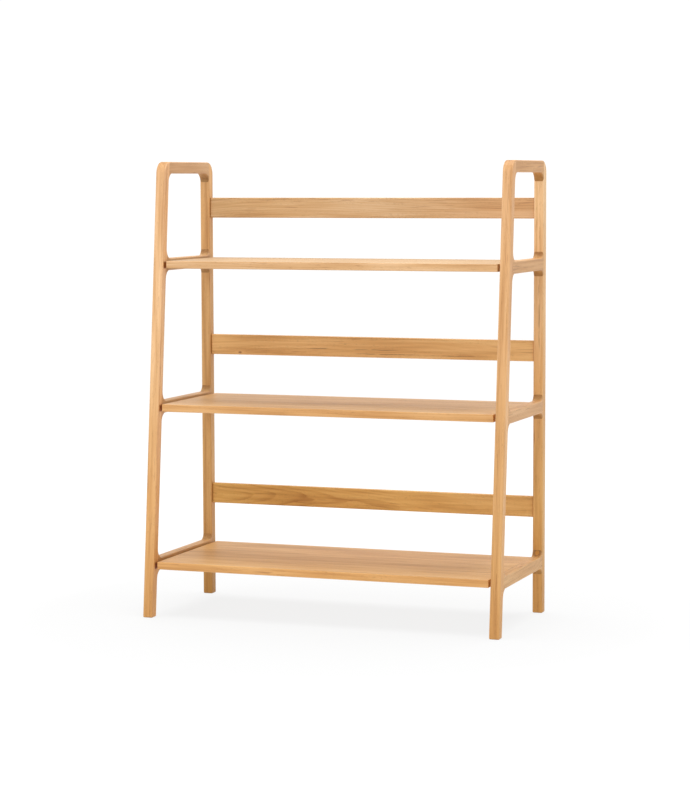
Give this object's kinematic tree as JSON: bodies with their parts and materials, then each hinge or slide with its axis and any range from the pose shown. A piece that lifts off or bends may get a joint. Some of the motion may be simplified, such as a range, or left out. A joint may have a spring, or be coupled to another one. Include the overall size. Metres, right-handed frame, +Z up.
{
  "type": "ladder shelf",
  "caption": "Free-standing wooden ladder shelf: raked end frames with rounded tops carry open shelves that grow deeper towards the floor, with slats across the back.",
  "frame": {"origin": "on the floor, midway between the feet in width and in depth", "axes": "+Z up; +X to the right seen from the front; the front, where the raked legs are, faces -Y"},
  "size_m": [0.98, 0.432, 1.2],
  "materials": {
    "leg_wood": "satin clear oil",
    "rail_wood": "satin clear oil",
    "shelf_wood": "satin clear oil",
    "slat_wood": "satin clear oil",
    "dowel_wood": "bare",
    "zinc": "zinc plated",
    "spacer_plastic": "matte"
  },
  "bodies": {
    "root": {"left_front_leg": "leg_wood", "left_back_leg": "leg_wood", "right_front_leg": "leg_wood", "right_back_leg": "leg_wood", "left_top_rail": "rail_wood", "left_upper_rail": "rail_wood", "left_middle_rail": "rail_wood", "left_lower_rail": "rail_wood", "right_top_rail": "rail_wood", "right_upper_rail": "rail_wood", "right_middle_rail": "rail_wood", "right_lower_rail": "rail_wood", "upper_shelf": "shelf_wood", "middle_shelf": "shelf_wood", "lower_shelf": "shelf_wood", "upper_back_slat": "slat_wood", "middle_back_slat": "slat_wood", "lower_back_slat": "slat_wood", "left_frame_dowels": "dowel_wood", "right_frame_dowels": "dowel_wood", "shelf_dowels": "dowel_wood", "slat_dowels": "dowel_wood", "shelf_cam_bolts": "zinc", "shelf_cam_locks": "zinc", "slat_cam_bolts": "zinc", "slat_cam_locks": "zinc", "shelf_spacers": "spacer_plastic"}
  },
  "joints": []
}
